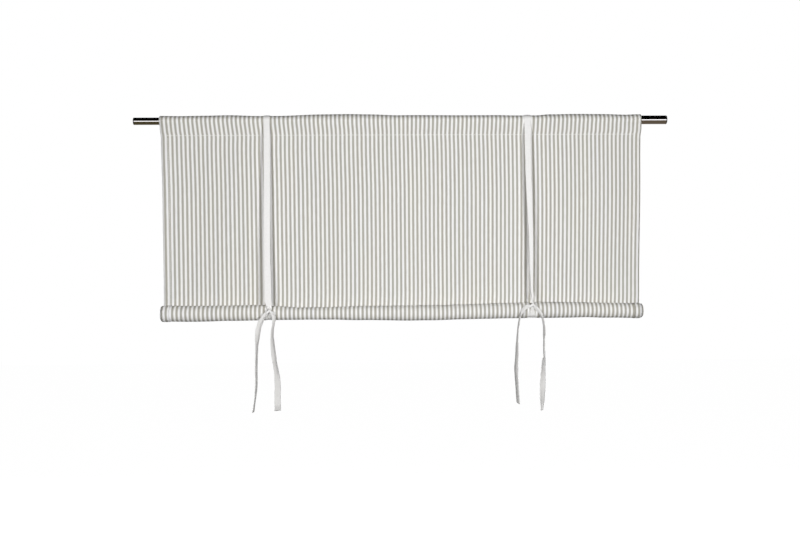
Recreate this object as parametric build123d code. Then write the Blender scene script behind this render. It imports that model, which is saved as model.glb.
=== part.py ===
from build123d import *
import os
from math import asin, atan2, cos, degrees, hypot, radians, sin, sqrt, tan

# Tie-up roll blind on a telescopic rod, in millimetres.
# The origin is on the rod's axis at the middle of the cloth. +X is the viewer's right,
# +Z is up, and the front of the blind faces -Y.

# Cloth
cloth_width = 1000.0
cloth_thickness = 0.55
seam_drop = 28.5
roll_drop = 400.0
roll_forward = 2.4
winding_gap = 0.28
roll_half_turns = 23
cloth_rod_clearance = 0.3

# Hem dowel, the bar that the roll is wound on
dowel_diameter = 10.0
dowel_inset = 5.0
dowel_chamfer = 0.8
dowel_clearance = 0.3

# Rod tubes
rod_overhang = 56.0
outer_tube_diameter = 18.0
outer_tube_wall = 0.8
outer_tube_length = 700.0
inner_tube_wall = 0.8
rod_extension = 88.0
rod_stop_gap = 0.5

# Mouth bush and guide sleeve, between the two tubes
running_clearance = 0.1
bush_wall = 0.6
bush_length = 18.0
bush_flange_length = 1.5
sleeve_length = 24.0
sleeve_lip_length = 2.0

# End plugs
plug_head_length = 1.8
plug_head_chamfer = 0.5
plug_shank_length = 16.0
plug_shank_clearance = 0.25
plug_wall = 1.5
plug_ring_length = 1.2
plug_ring_count = 1

# Tie tapes
tape_width = 13.0
tape_thickness = 0.8
tape_clearance = 0.3
left_tie_inset = 220.0
left_tie_lean = 5.0
left_knot_rise = 7.6
right_tie_inset = 238.0
right_tie_lean = 6.5
right_knot_rise = 14.4

# Knots
knot_half_width = 7.5
knot_half_height = 6.5
knot_depth = 9.0
knot_rim_chamfer = 2.2
knot_neck_width = 6.5
knot_taper_length = 22.0
notch_overrun = 2.0
# How deep the knot's back lies in the tape that it is tied in.
knot_seat_share = 0.25

# Free tails: offsets (x, z) from the knot's centre, in the plane of the knot.
# Each starts on a flat of the knot and hangs to its cut end.
left_tail_a_route = [
    (-3.6, -4.0), (-9.0, -10.0), (-15.6, -19.5), (-20.8, -31.5), (-23.8, -46.0), (-25.0, -63.0),
    (-26.2, -82.0), (-26.9, -103.0), (-27.5, -126.0), (-27.0, -149.0), (-28.6, -172.0), (-31.4, -192.0),
    (-34.0, -210.0),
]
left_tail_b_route = [
    (3.4, -4.2), (7.6, -9.6), (10.0, -17.5), (9.2, -27.5), (6.8, -39.5), (5.7, -53.0), (6.6, -68.0),
    (7.9, -85.0), (10.2, -104.0), (14.0, -126.0), (16.0, -148.0), (16.1, -166.0), (15.4, -184.0),
    (16.2, -198.0), (15.2, -208.0),
]
right_tail_a_route = [
    (-5.4, -1.6), (-13.6, -4.0), (-20.6, -10.2), (-25.4, -20.4), (-28.8, -33.0), (-31.2, -48.5),
    (-32.8, -66.0), (-33.5, -84.5), (-33.9, -104.0), (-35.6, -124.0), (-35.5, -145.0), (-34.1, -165.0),
    (-33.2, -184.5), (-31.9, -203.0),
]
right_tail_b_route = [
    (4.2, -3.8), (10.8, -9.6), (16.6, -17.6), (20.6, -29.0), (22.9, -42.5), (23.4, -57.0), (22.1, -73.0),
    (22.5, -91.0), (22.4, -109.0), (20.8, -130.0), (20.2, -152.0), (19.2, -175.0), (18.5, -198.0),
    (18.1, -218.0),
]
# Each arc of a tail takes this share of the shorter run beside it.
arc_run_share = 0.45

# Rod sizes worked out from the values above
rod_half_length = cloth_width / 2 + rod_overhang
outer_tube_radius = outer_tube_diameter / 2
outer_bore_radius = outer_tube_radius - outer_tube_wall
inner_tube_radius = outer_bore_radius - bush_wall - running_clearance
inner_bore_radius = inner_tube_radius - inner_tube_wall
outer_tube_end = rod_half_length - plug_head_length
outer_tube_mouth = outer_tube_end - outer_tube_length
inner_tube_tip = plug_head_length - rod_half_length
bush_inner_end = outer_tube_mouth + bush_length
sleeve_start = bush_inner_end + rod_extension + rod_stop_gap
sleeve_end = sleeve_start + sleeve_length
inner_tube_end = sleeve_end - sleeve_lip_length

# Cloth sizes worked out from the values above
pocket_radius = outer_tube_radius + cloth_rod_clearance
winding_pitch = cloth_thickness + winding_gap
core_line_radius = dowel_diameter / 2 + dowel_clearance + cloth_thickness / 2
roll_line_radius = core_line_radius + roll_half_turns * winding_pitch / 2
roll_radius = roll_line_radius + cloth_thickness / 2
roll_center = (-roll_forward, -roll_drop)

# Tie sizes worked out from the values above
loop_top_radius = pocket_radius + cloth_thickness + tape_clearance
loop_roll_radius = roll_radius + tape_clearance
knot_back_y = -roll_forward - loop_roll_radius - knot_seat_share * tape_thickness
knot_y = knot_back_y - knot_depth / 2


def disc(start_x, end_x, radius):
    """A solid cylinder along the rod's axis, from start_x to end_x."""
    return extrude(Plane.YZ.offset(start_x) * Circle(radius), amount=end_x - start_x)


def tube(start_x, end_x, radius, bore_radius):
    """A tube along the rod's axis, from start_x to end_x."""
    return extrude(Plane.YZ.offset(start_x) * (Circle(radius) - Circle(bore_radius)), amount=end_x - start_x)


def belt_hull(first_center, first_radius, second_center, second_radius):
    """The flat outline of a belt drawn tight round two circles."""
    first = Pos(*first_center) * Circle(first_radius)
    second = Pos(*second_center) * Circle(second_radius)
    return make_hull(first.edges() + second.edges())


def belt(first_center, first_radius, second_center, second_radius, thickness):
    """A closed belt of one thickness round two circles, as a flat section."""
    outline = belt_hull(first_center, first_radius + thickness, second_center, second_radius + thickness)
    return outline - belt_hull(first_center, first_radius, second_center, second_radius)


def end_plug(tube_end, outward, radius, bore_radius):
    """A push-in plug with a flush head, a hollow shank and grip rings, at one tip of the rod."""
    head_end = tube_end + outward * plug_head_length
    shank_end = tube_end - outward * plug_shank_length
    shank_radius = bore_radius - plug_shank_clearance
    head = disc(min(tube_end, head_end), max(tube_end, head_end), radius)
    rim = head.faces().sort_by(Axis.X)[-1 if outward > 0 else 0].edges()
    plug = chamfer(rim, plug_head_chamfer)
    shank_span = (min(tube_end, shank_end), max(tube_end, shank_end))
    plug += disc(*shank_span, shank_radius)
    ring_step = plug_shank_length / (plug_ring_count + 1)
    for ring in range(1, plug_ring_count + 1):
        middle = tube_end - outward * ring * ring_step
        plug += disc(middle - plug_ring_length / 2, middle + plug_ring_length / 2, bore_radius)
    return plug - disc(*shank_span, shank_radius - plug_wall)


def mouth_bush():
    """The bush pressed in the outer tube's mouth, with a flange against the tube's end."""
    flange_start = outer_tube_mouth - bush_flange_length
    bush = disc(outer_tube_mouth, bush_inner_end, outer_bore_radius)
    bush += disc(flange_start, outer_tube_mouth, outer_tube_radius)
    return bush - disc(flange_start, bush_inner_end, inner_tube_radius + running_clearance)


def guide_sleeve():
    """The sleeve on the inner tube's hidden end, which runs in the outer tube, with a lip over that end."""
    sleeve = disc(sleeve_start, sleeve_end, outer_bore_radius - running_clearance)
    sleeve -= disc(sleeve_start, inner_tube_end, inner_tube_radius)
    return sleeve - disc(inner_tube_end, sleeve_end, inner_bore_radius)


def strip_section():
    """The panel and the wound roll as one strip of cloth: a straight run, then tangent half circles.

    The run leaves the pocket's seam and meets the back of the roll. From there the cloth goes under the
    roll, up its front and inwards, half a turn at a time, with the radius half a winding pitch less
    each time and the centre moved by as much, so that the line stays smooth.
    """
    half = cloth_thickness / 2
    start = (0, -seam_drop - cloth_thickness)
    to_center = (roll_center[0] - start[0], roll_center[1] - start[1])
    distance = hypot(*to_center)
    heading = atan2(to_center[1], to_center[0]) + asin(roll_line_radius / distance)
    run = sqrt(distance**2 - roll_line_radius**2)
    back_normal = (-sin(heading), cos(heading))
    tangent = (start[0] + run * cos(heading), start[1] + run * sin(heading))
    first_angle = degrees(heading) + 90

    def side(offset):
        """The edges of one face of the cloth, from the seam to the inner end of the roll."""
        shift = (offset * back_normal[0], offset * back_normal[1])
        edges = [Line(
            (start[0] + shift[0], start[1] + shift[1]),
            (tangent[0] + shift[0], tangent[1] + shift[1]),
        )]
        for turn in range(roll_half_turns):
            radius = roll_line_radius - turn * winding_pitch / 2 + offset
            angle = first_angle + 180 * (turn % 2)
            moved = -winding_pitch / 2 * (turn % 2)
            center = (
                roll_center[0] + moved * cos(radians(first_angle)),
                roll_center[1] + moved * sin(radians(first_angle)),
            )
            edges.append(CenterArc(center, radius, angle, -180))
        return edges

    outer_side = side(half)
    inner_side = side(-half)
    seam_cap = Line(inner_side[0] @ 0, outer_side[0] @ 0)
    hem_cap = Line(outer_side[-1] @ 1, inner_side[-1] @ 1)
    return make_face(outer_side + [hem_cap] + inner_side[::-1] + [seam_cap])


def blind_cloth():
    """The whole cloth: the pocket over the rod, closed by its seam, the panel and the roll."""
    pocket = belt((0, 0), pocket_radius, (0, -seam_drop), cloth_thickness / 2, cloth_thickness)
    return extrude(Plane.YZ.offset(-cloth_width / 2) * (pocket + strip_section()), amount=cloth_width)


def hem_dowel():
    """The round bar in the middle of the roll."""
    half_length = cloth_width / 2 - dowel_inset
    bar = extrude(
        Plane.YZ.offset(-half_length) * Pos(*roll_center) * Circle(dowel_diameter / 2),
        amount=2 * half_length,
    )
    return chamfer(bar.edges().filter_by(GeomType.CIRCLE), dowel_chamfer)


def knot_at(top_x, lean, rise):
    """The centre of a tie's knot, on the front of the roll."""
    return Vector(top_x + lean, knot_y, rise - roll_drop)


def route_points(knot, route):
    """A tail's route as points in space."""
    return [knot + Vector(x, 0, z) for x, z in route]


def front_notch(side, height):
    """A three-cornered cut beside a tie's front leg, with its point at the knot's neck."""
    slope = knot_taper_length / (tape_width - knot_neck_width) * 2
    reach = (tape_width - knot_neck_width) / 2 + notch_overrun
    neck_x = side * knot_neck_width / 2
    outline = Polyline(
        (neck_x, height),
        (neck_x + side * reach, height + slope * reach),
        (neck_x + side * reach, height - slope * reach),
        close=True,
    )
    return extrude(Plane.XZ.offset(roll_forward) * make_face(outline), amount=-knot_y)


def knot_lump(height):
    """The tightened half knot: an oval lump with soft rims, seated in the front leg of the tape."""
    oval = Plane.XZ.offset(-knot_back_y) * Pos(0, height) * Ellipse(knot_half_width, knot_half_height)
    lump = extrude(oval, amount=knot_depth)
    return chamfer(lump.edges().filter_by(GeomType.ELLIPSE), knot_rim_chamfer)


def tie_loop(top_x, knot, tails):
    """One tape round the pocket and the roll, drawn together into its knot on the roll's front.

    The loop is made upright and then leans about the rod, so that its front leg meets the knot. Two
    notches narrow the front leg towards the knot, and the knot has a flat where each tail leaves it.
    """
    lean = knot.X - top_x
    height = -hypot(lean, knot.Z)
    section = belt((0, 0), loop_top_radius, roll_center, loop_roll_radius, tape_thickness)
    loop = extrude(Plane.YZ.offset(-tape_width / 2) * section, amount=tape_width)
    for side in (-1, 1):
        loop -= front_notch(side, height)
    placing = Pos(top_x, 0, 0) * Rot(0, -degrees(atan2(lean, -knot.Z)), 0)
    lump = placing * knot_lump(height)
    for route in tails:
        first, second = route_points(knot, route)[:2]
        lump = split(lump, Plane(origin=first, z_dir=second - first), keep=Keep.BOTTOM)
    return placing * loop + lump


def tie_tail(name, knot, route):
    """One free tail, the tape folded along its middle, on straight runs joined by tangent arcs."""
    points = route_points(knot, route)
    runs = [end - start for start, end in zip(points, points[1:])]
    radii = []
    for before, after in zip(runs, runs[1:]):
        half_turn = radians(before.get_angle(after)) / 2
        radii.append(arc_run_share * min(before.length, after.length) / tan(half_turn))
    path = FilletPolyline(*points, radius=radii)
    start_plane = Plane(origin=points[0], x_dir=(0, 1, 0), z_dir=runs[0])
    section = Rectangle(2 * tape_thickness, tape_width / 2)
    tail = sweep(start_plane * section, path=path)
    print(name, "arc radii", [round(radius, 1) for radius in radii])
    volume_share = tail.volume / section.area / path.length
    print(name, "length", round(path.length, 1), "volume share", round(volume_share, 4))
    return tail


left_tie_x = left_tie_inset - cloth_width / 2
right_tie_x = cloth_width / 2 - right_tie_inset
left_knot = knot_at(left_tie_x, left_tie_lean, left_knot_rise)
right_knot = knot_at(right_tie_x, right_tie_lean, right_knot_rise)

nodes = {
    "rod_outer_tube": tube(outer_tube_mouth, outer_tube_end, outer_tube_radius, outer_bore_radius),
    "rod_inner_tube": tube(inner_tube_tip, inner_tube_end, inner_tube_radius, inner_bore_radius),
    "rod_mouth_bush": mouth_bush(),
    "rod_guide_sleeve": guide_sleeve(),
    "rod_end_plug_left": end_plug(inner_tube_tip, -1, inner_tube_radius, inner_bore_radius),
    "rod_end_plug_right": end_plug(outer_tube_end, 1, outer_tube_radius, outer_bore_radius),
    "blind_cloth": blind_cloth(),
    "hem_dowel": hem_dowel(),
    "tie_left_loop": tie_loop(left_tie_x, left_knot, [left_tail_a_route, left_tail_b_route]),
    "tie_left_tail_a": tie_tail("tie_left_tail_a", left_knot, left_tail_a_route),
    "tie_left_tail_b": tie_tail("tie_left_tail_b", left_knot, left_tail_b_route),
    "tie_right_loop": tie_loop(right_tie_x, right_knot, [right_tail_a_route, right_tail_b_route]),
    "tie_right_tail_a": tie_tail("tie_right_tail_a", right_knot, right_tail_a_route),
    "tie_right_tail_b": tie_tail("tie_right_tail_b", right_knot, right_tail_b_route),
}

os.makedirs("parts", exist_ok=True)
for name, piece in nodes.items():
    export_step(piece, f"parts/{name}.step")
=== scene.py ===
"""A tie-up roll blind: striped cotton on a telescopic rod, rolled up by hand and held by two knotted tapes.

Lengths are in millimetres up to the point where a mesh is filled, and MM turns them into metres. The studio
and the paths of the tails are in metres. +X is the viewer's right, +Z is up, and the front of the blind
faces -Y.
"""

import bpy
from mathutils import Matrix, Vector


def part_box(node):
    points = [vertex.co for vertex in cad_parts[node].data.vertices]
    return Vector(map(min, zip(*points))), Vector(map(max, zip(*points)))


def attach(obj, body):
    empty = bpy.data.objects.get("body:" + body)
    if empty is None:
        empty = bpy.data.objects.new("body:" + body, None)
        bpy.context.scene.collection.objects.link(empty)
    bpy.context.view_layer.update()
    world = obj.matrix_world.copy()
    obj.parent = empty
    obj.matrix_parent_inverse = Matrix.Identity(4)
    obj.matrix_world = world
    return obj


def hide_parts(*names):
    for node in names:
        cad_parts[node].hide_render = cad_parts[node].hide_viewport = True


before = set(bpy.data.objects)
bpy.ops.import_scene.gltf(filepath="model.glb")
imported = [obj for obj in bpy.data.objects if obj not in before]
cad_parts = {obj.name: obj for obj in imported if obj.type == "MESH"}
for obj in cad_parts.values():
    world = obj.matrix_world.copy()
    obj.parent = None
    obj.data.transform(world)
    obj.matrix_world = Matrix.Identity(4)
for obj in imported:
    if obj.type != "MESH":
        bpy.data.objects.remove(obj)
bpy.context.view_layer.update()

import logging
from dataclasses import dataclass, field
from enum import Enum
from typing import Any, Sequence

import bmesh
import bpy
import numpy as np
from mathutils import Matrix, Vector

Array = np.ndarray
Colour = tuple[float, float, float, float]
Route = Sequence[tuple[float, float, float]]
Keys = Sequence[tuple[float, float]]
Waves = Sequence[tuple[float, ...]]
Material = bpy.types.Material
Object = bpy.types.Object
Node = bpy.types.Node
Socket = bpy.types.NodeSocket
Tree = bpy.types.NodeTree

MM = 0.001
FULL_TURN = 2 * np.pi
WHITE = (1, 1, 1, 1)
SPLINE_STEPS = 12
CLOTH_UV = "cloth"
LOG = logging.getLogger("blind")


class Slot(Enum):
    """The record's material slots."""

    CLOTH = "striped_cotton"
    TAPE = "tie_tape"
    METAL = "rod_metal"


class Body(Enum):
    """The two bodies of the blind."""

    BLIND = "blind"
    THIN_TUBE = "thin_tube"


# Small tools


def linear(hex_colour: str) -> Colour:
    """Turn an sRGB hex colour into linear RGBA.

    Args:
        hex_colour: Six hex digits with a leading #.
    Returns:
        Red, green, blue and an alpha of 1, in linear light.
    """
    coded = np.array([int(hex_colour[i:i + 2], 16) for i in (1, 3, 5)]) / 255
    light = np.where(coded <= 0.04045, coded / 12.92, ((coded + 0.055) / 1.055) ** 2.4)
    return (*light.tolist(), 1.0)


def eased(at: Array, keys: Keys) -> Array:
    """Interpolate between keys with a smooth step, level at each key.

    Args:
        at: Places to evaluate.
        keys: Pairs of place and value, in rising order of place.
    Returns:
        The values at those places, held constant outside the keys.
    """
    places, values = np.array(keys, float).T
    index = np.clip(np.searchsorted(places, at, side="right") - 1, 0, len(places) - 2)
    share = np.clip((at - places[index]) / (places[index + 1] - places[index]), 0, 1)
    return values[index] + (values[index + 1] - values[index]) * share**2 * (3 - 2 * share)


def bump_at(at: Array, middle: float, spread: float) -> Array:
    """A bell of height 1: exp of minus the squared distance from the middle, in spreads."""
    return np.exp(-(((at - middle) / spread) ** 2))


def column(start: float, end: float, count: int) -> Array:
    """Evenly spread values, one to a row."""
    return np.linspace(start, end, count)[:, None]


def stacked(*parts: Array) -> Array:
    """Bring arrays to one shape and stack them as coordinates."""
    return np.stack(np.broadcast_arrays(*parts), axis=-1)


def unit(vectors: Array) -> Array:
    """Scale vectors to length 1."""
    return vectors / np.linalg.norm(vectors, axis=-1, keepdims=True)


def run_along(line: Array) -> Array:
    """The distance from a line's start to each of its points."""
    return np.concatenate([[0], np.cumsum(np.linalg.norm(np.diff(line, axis=0), axis=1))])


@dataclass
class Patch:
    """A surface on a grid: one point and one UV pair for each row and column.

    With close_columns the rows are rings. With strip_rows the grid is a row of separate tubes of that many
    rings each, closed by a cap at both ends.
    """

    points: Array
    uv: Array
    close_columns: bool = False
    strip_rows: int = 0

    def faces(self, start: int) -> list[list[int]]:
        """The grid's faces, with vertex numbers counted from start.

        Args:
            start: The number of the grid's first vertex in its mesh.
        Returns:
            Four-cornered faces, and then the caps.
        """
        rows, columns = self.points.shape[:2]
        index = start + np.arange(rows * columns).reshape(rows, columns)
        caps = []
        kept = np.arange(rows - 1)
        if self.strip_rows:
            kept = kept[(kept + 1) % self.strip_rows != 0]
            first, last = index[::self.strip_rows, ::-1], index[self.strip_rows - 1::self.strip_rows]
            caps = first.tolist() + last.tolist()
        if self.close_columns:
            index = np.hstack([index, index[:, :1]])
        corners = [index[:-1, :-1], index[:-1, 1:], index[1:, 1:], index[1:, :-1]]
        return np.stack(corners, axis=-1)[kept].reshape(-1, 4).tolist() + caps


def piece_from(name: str, patches: Sequence[Patch], material: Material) -> Object:
    """Fill one mesh object with patches.

    Args:
        name: The piece's name.
        patches: Surfaces in millimetres.
        material: The finish of the whole piece.
    Returns:
        The object, at the origin, with its place in its mesh in metres.
    """
    starts = np.cumsum([0] + [patch.uv[..., 0].size for patch in patches])
    points = np.concatenate([patch.points.reshape(-1, 3) for patch in patches]) * MM
    faces = [face for patch, start in zip(patches, starts) for face in patch.faces(int(start))]
    uv = np.concatenate([patch.uv.reshape(-1, 2) for patch in patches]) * MM
    mesh = bpy.data.meshes.new(name)
    mesh.from_pydata(points.tolist(), [], faces)
    corners = np.empty(len(mesh.loops), np.int32)
    mesh.loops.foreach_get("vertex_index", corners)
    mesh.uv_layers.new(name=CLOTH_UV).data.foreach_set("uv", uv[corners].ravel())
    mesh.polygons.foreach_set("use_smooth", np.ones(len(mesh.polygons), bool))
    mesh.materials.append(material)
    piece = bpy.data.objects.new(name, mesh)
    bpy.context.scene.collection.objects.link(piece)
    return piece


def thicken(piece: Object, thickness: float) -> None:
    """Give a sheet its thickness about its middle surface.

    Args:
        piece: The sheet.
        thickness: Its thickness in millimetres.
    """
    wall = piece.modifiers.new("thickness", "SOLIDIFY")
    wall.thickness = thickness * MM
    wall.offset = 0


def close_up(piece: Object, weld: float = 0.0) -> None:
    """Turn the faces of closed surfaces outward, and first join points that lie within the weld distance.

    Args:
        piece: The closed surfaces.
        weld: The weld distance in millimetres, 0 for none.
    """
    net = bmesh.new()
    net.from_mesh(piece.data)
    if weld:
        bmesh.ops.remove_doubles(net, verts=net.verts, dist=weld * MM)
    bmesh.ops.recalc_face_normals(net, faces=net.faces)
    net.to_mesh(piece.data)
    net.free()


# Nodes


def add_node(tree: Tree, kind: str, inputs: dict | None = None, **settings: Any) -> Node:
    """Add a node, set its properties, and set or link its inputs.

    Args:
        tree: The node tree.
        kind: The node's type name.
        inputs: Socket names or numbers, with a value or an output socket each.
        settings: Properties of the node.
    Returns:
        The new node.
    """
    node = tree.nodes.new(kind)
    for key, value in settings.items():
        setattr(node, key, value)
    for key, value in (inputs or {}).items():
        if isinstance(value, Socket):
            tree.links.new(value, node.inputs[key])
        else:
            node.inputs[key].default_value = value
    return node


def math_of(tree: Tree, operation: str, *values: float | Socket) -> Socket:
    """The result of a math node."""
    return add_node(tree, "ShaderNodeMath", dict(enumerate(values)), operation=operation).outputs[0]


def mix_of(tree: Tree, share: float | Socket, first: Any, second: Any, **settings: Any) -> Socket:
    """A mix of two colours by a share of the second."""
    inputs = {0: share, 6: first, 7: second}
    return add_node(tree, "ShaderNodeMix", inputs, data_type="RGBA", **settings).outputs[2]


def noise_of(tree: Tree, place: Socket, detail: float, stretch: Sequence[float]) -> Socket:
    """Noise with its own scale along each axis of a place in metres."""
    scaled = add_node(tree, "ShaderNodeMapping", {"Vector": place, "Scale": stretch}).outputs[0]
    return add_node(tree, "ShaderNodeTexNoise", {"Vector": scaled, "Scale": 1.0, "Detail": detail}).outputs[0]


def raise_surface(tree: Tree, shader: Node, strength: float, relief: float, height: Socket) -> None:
    """Lift the shader's surface by a height from 0 to 1, of a relief in millimetres."""
    lift = add_node(tree, "ShaderNodeBump", {"Strength": strength, "Distance": relief * MM, "Height": height})
    tree.links.new(lift.outputs[0], shader.inputs["Normal"])


def seen_rays(tree: Tree) -> Socket:
    """1 for rays from the camera, in reflections and through glass, 0 for the rays that light things.

    Args:
        tree: The node tree.
    Returns:
        The socket with that value.
    """
    rays = add_node(tree, "ShaderNodeLightPath").outputs
    first = math_of(tree, "MAXIMUM", rays["Is Camera Ray"], rays["Is Glossy Ray"])
    return math_of(tree, "MAXIMUM", first, rays["Is Transmission Ray"])


# Finishes


@dataclass(frozen=True)
class Finish:
    """What every finish has: a name, a roughness and the way to make its material."""

    name: str = "finish"
    roughness: float = 0.5

    def make(self) -> Material:
        """Make the node material, with the surface worked out by dress().

        Returns:
            The material.
        """
        material = bpy.data.materials.new(self.name)
        material.use_nodes = True
        tree = material.node_tree
        shader = tree.nodes["Principled BSDF"]
        shader.inputs["Roughness"].default_value = self.roughness
        self.dress(tree, shader)
        return material

    def dress(self, tree: Tree, shader: Node) -> None:
        """Link the finish's colour and relief to the shader."""
        raise NotImplementedError


@dataclass(frozen=True)
class TickingCotton(Finish):
    """Woven ticking: plain weave cotton with dyed warp stripes, matt, with thread relief and slubby yarn.

    The stripes follow the cloth's own flat coordinates, so they bend and roll with it. Threads are about
    0.6 mm apart in such cloth and are drawn 1.5 mm apart, because finer ones don't show.
    """

    name: str = "striped_ticking_cotton"
    roughness: float = 0.92
    light: str = "#F6F5F0"
    light_cool: str = "#F1F1F4"
    dark: str = "#B0AFA9"
    dark_warm: str = "#B3AEA2"
    pitch: float = 8.8
    first_stripe: float = 0.0
    edge_softness: float = 0.42
    yarn_stretch: tuple[float, float, float] = (900, 60, 1)
    yarn_detail: float = 3.0
    cloud_stretch: tuple[float, float, float] = (70, 4, 1)
    cloud_detail: float = 1.0
    wander: float = 0.10
    yarn_shade: tuple[float, float] = (0.93, 1.05)
    thread: float = 1.5
    relief: float = 0.12
    bump: float = 0.35
    shine: float = 0.03

    def weave(self, tree: Tree, axes: Sequence[Socket]) -> Socket:
        """The height of a plain weave: the product of a sine across and a sine along the cloth."""
        turns = [math_of(tree, "MULTIPLY", axis, np.pi / (self.thread * MM)) for axis in axes]
        return math_of(tree, "MULTIPLY", *[math_of(tree, "SINE", turn) for turn in turns])

    def dress(self, tree: Tree, shader: Node) -> None:
        """Stripes from a cosine across the cloth, with yarn noise along it and a plain weave bump.

        Args:
            tree: The material's node tree.
            shader: Its surface shader.
        """
        place = add_node(tree, "ShaderNodeUVMap", uv_map=CLOTH_UV).outputs[0]
        axes = add_node(tree, "ShaderNodeSeparateXYZ", {0: place}).outputs
        yarn = noise_of(tree, place, self.yarn_detail, self.yarn_stretch)
        cloud = noise_of(tree, place, self.cloud_detail, self.cloud_stretch)
        number = math_of(tree, "MULTIPLY_ADD", axes[0], 1 / (self.pitch * MM), self.first_stripe)
        uneven = math_of(tree, "MULTIPLY_ADD", yarn, self.wander, number)
        wave = math_of(tree, "COSINE", math_of(tree, "MULTIPLY", uneven, FULL_TURN))
        soft = self.edge_softness
        mask = add_node(
            tree, "ShaderNodeMapRange", {"Value": wave, "From Min": -soft, "From Max": soft},
            interpolation_type="SMOOTHSTEP",
        )
        dyed = mix_of(tree, cloud, linear(self.dark), linear(self.dark_warm))
        bleached = mix_of(tree, cloud, linear(self.light_cool), linear(self.light))
        stripes = mix_of(tree, mask.outputs[0], bleached, dyed)
        low, high = self.yarn_shade
        shade = add_node(tree, "ShaderNodeMapRange", {"Value": yarn, "To Min": low, "To Max": high})
        cloth = mix_of(tree, 1.0, stripes, shade.outputs[0], blend_type="MULTIPLY")
        tree.links.new(cloth, shader.inputs["Base Color"])
        raise_surface(tree, shader, self.bump, self.relief, self.weave(tree, (axes[0], axes[1])))
        shader.inputs["Specular IOR Level"].default_value = self.shine


@dataclass(frozen=True)
class TwillTape(Finish):
    """Bleached cotton twill tape: off-white and matt, with fine slanted ribs and a firm edge.

    The ribs are about 0.7 mm apart on such tape and are drawn 1.6 mm apart so that they show.
    """

    name: str = "off_white_twill_tape"
    roughness: float = 0.88
    colour: str = "#F9F8F7"
    shaded: str = "#EDECEA"
    rib: float = 1.6
    relief: float = 0.18
    cloud_scale: float = 220.0
    cloud_detail: float = 4.0
    bump: float = 0.3
    shine: float = 0.15
    sheen: float = 0.05

    def dress(self, tree: Tree, shader: Node) -> None:
        """Slanted ribs from a sine of across plus along, and a faint cloudy yarn colour.

        Args:
            tree: The material's node tree.
            shader: Its surface shader.
        """
        place = add_node(tree, "ShaderNodeUVMap", uv_map=CLOTH_UV).outputs[0]
        axes = add_node(tree, "ShaderNodeSeparateXYZ", {0: place}).outputs
        slant = math_of(tree, "ADD", axes[0], axes[1])
        ribs = math_of(tree, "SINE", math_of(tree, "MULTIPLY", slant, FULL_TURN / (self.rib * MM)))
        cloud = noise_of(tree, place, self.cloud_detail, (self.cloud_scale,) * 3)
        tone = mix_of(tree, cloud, linear(self.colour), linear(self.shaded))
        tree.links.new(tone, shader.inputs["Base Color"])
        raise_surface(tree, shader, self.bump, self.relief, ribs)
        shader.inputs["Specular IOR Level"].default_value = self.shine
        shader.inputs["Sheen Weight"].default_value = self.sheen


@dataclass(frozen=True)
class PolishedSteel(Finish):
    """Drawn steel tube with polished dark nickel plate: a dark mirror with faint lines along the tube."""

    name: str = "dark_nickel_plated_tube"
    roughness: float = 0.02
    colour: str = "#8F8A80"
    line: float = 0.9
    along: float = 3.0
    detail: float = 2.0
    spread: float = 0.01

    def dress(self, tree: Tree, shader: Node) -> None:
        """Draw lines run along X, so the noise is stretched along it, and they vary the roughness.

        Args:
            tree: The material's node tree.
            shader: Its surface shader.
        """
        place = add_node(tree, "ShaderNodeTexCoord").outputs["Object"]
        fine = 1 / (self.line * MM)
        lines = noise_of(tree, place, self.detail, (self.along, fine, fine))
        low, high = self.roughness - self.spread, self.roughness + self.spread
        gloss = add_node(tree, "ShaderNodeMapRange", {"Value": lines, "To Min": low, "To Max": high})
        tree.links.new(gloss.outputs[0], shader.inputs["Roughness"])
        shader.inputs["Base Color"].default_value = linear(self.colour)
        shader.inputs["Metallic"].default_value = 1.0


@dataclass(frozen=True)
class MouldedPlastic(Finish):
    """Injection moulded plastic with a fine spark-eroded grain."""

    name: str = "moulded_plastic"
    roughness: float = 0.42
    colour: str = "#141414"
    grain: float = 0.8
    detail: float = 3.0
    relief: float = 0.04
    bump: float = 0.25

    def dress(self, tree: Tree, shader: Node) -> None:
        """A fine noise lifts the surface by a few hundredths of a millimetre.

        Args:
            tree: The material's node tree.
            shader: Its surface shader.
        """
        place = add_node(tree, "ShaderNodeTexCoord").outputs["Object"]
        grain = noise_of(tree, place, self.detail, (1 / (self.grain * MM),) * 3)
        raise_surface(tree, shader, self.bump, self.relief, grain)
        shader.inputs["Base Color"].default_value = linear(self.colour)


@dataclass(frozen=True)
class PlanedSoftwood(Finish):
    """Turned softwood dowel: pale yellow-brown, with growth lines along the bar, unlacquered."""

    name: str = "turned_softwood"
    roughness: float = 0.7
    pale: str = "#D8BC90"
    dark: str = "#B58F5C"
    grain: float = 1.8
    along: float = 6.0
    detail: float = 4.0

    def dress(self, tree: Tree, shader: Node) -> None:
        """Noise stretched along X gives the growth lines.

        Args:
            tree: The material's node tree.
            shader: Its surface shader.
        """
        place = add_node(tree, "ShaderNodeTexCoord").outputs["Object"]
        fine = 1 / (self.grain * MM)
        lines = noise_of(tree, place, self.detail, (self.along, fine, fine))
        wood = mix_of(tree, lines, linear(self.pale), linear(self.dark))
        tree.links.new(wood, shader.inputs["Base Color"])


# Cloth


@dataclass(frozen=True)
class StripeStation:
    """Where the stripes run at one place down the cloth: x = middle + pitch * n - crowding * n squared."""

    down: float
    middle: float
    pitch: float
    crowding: float


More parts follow.
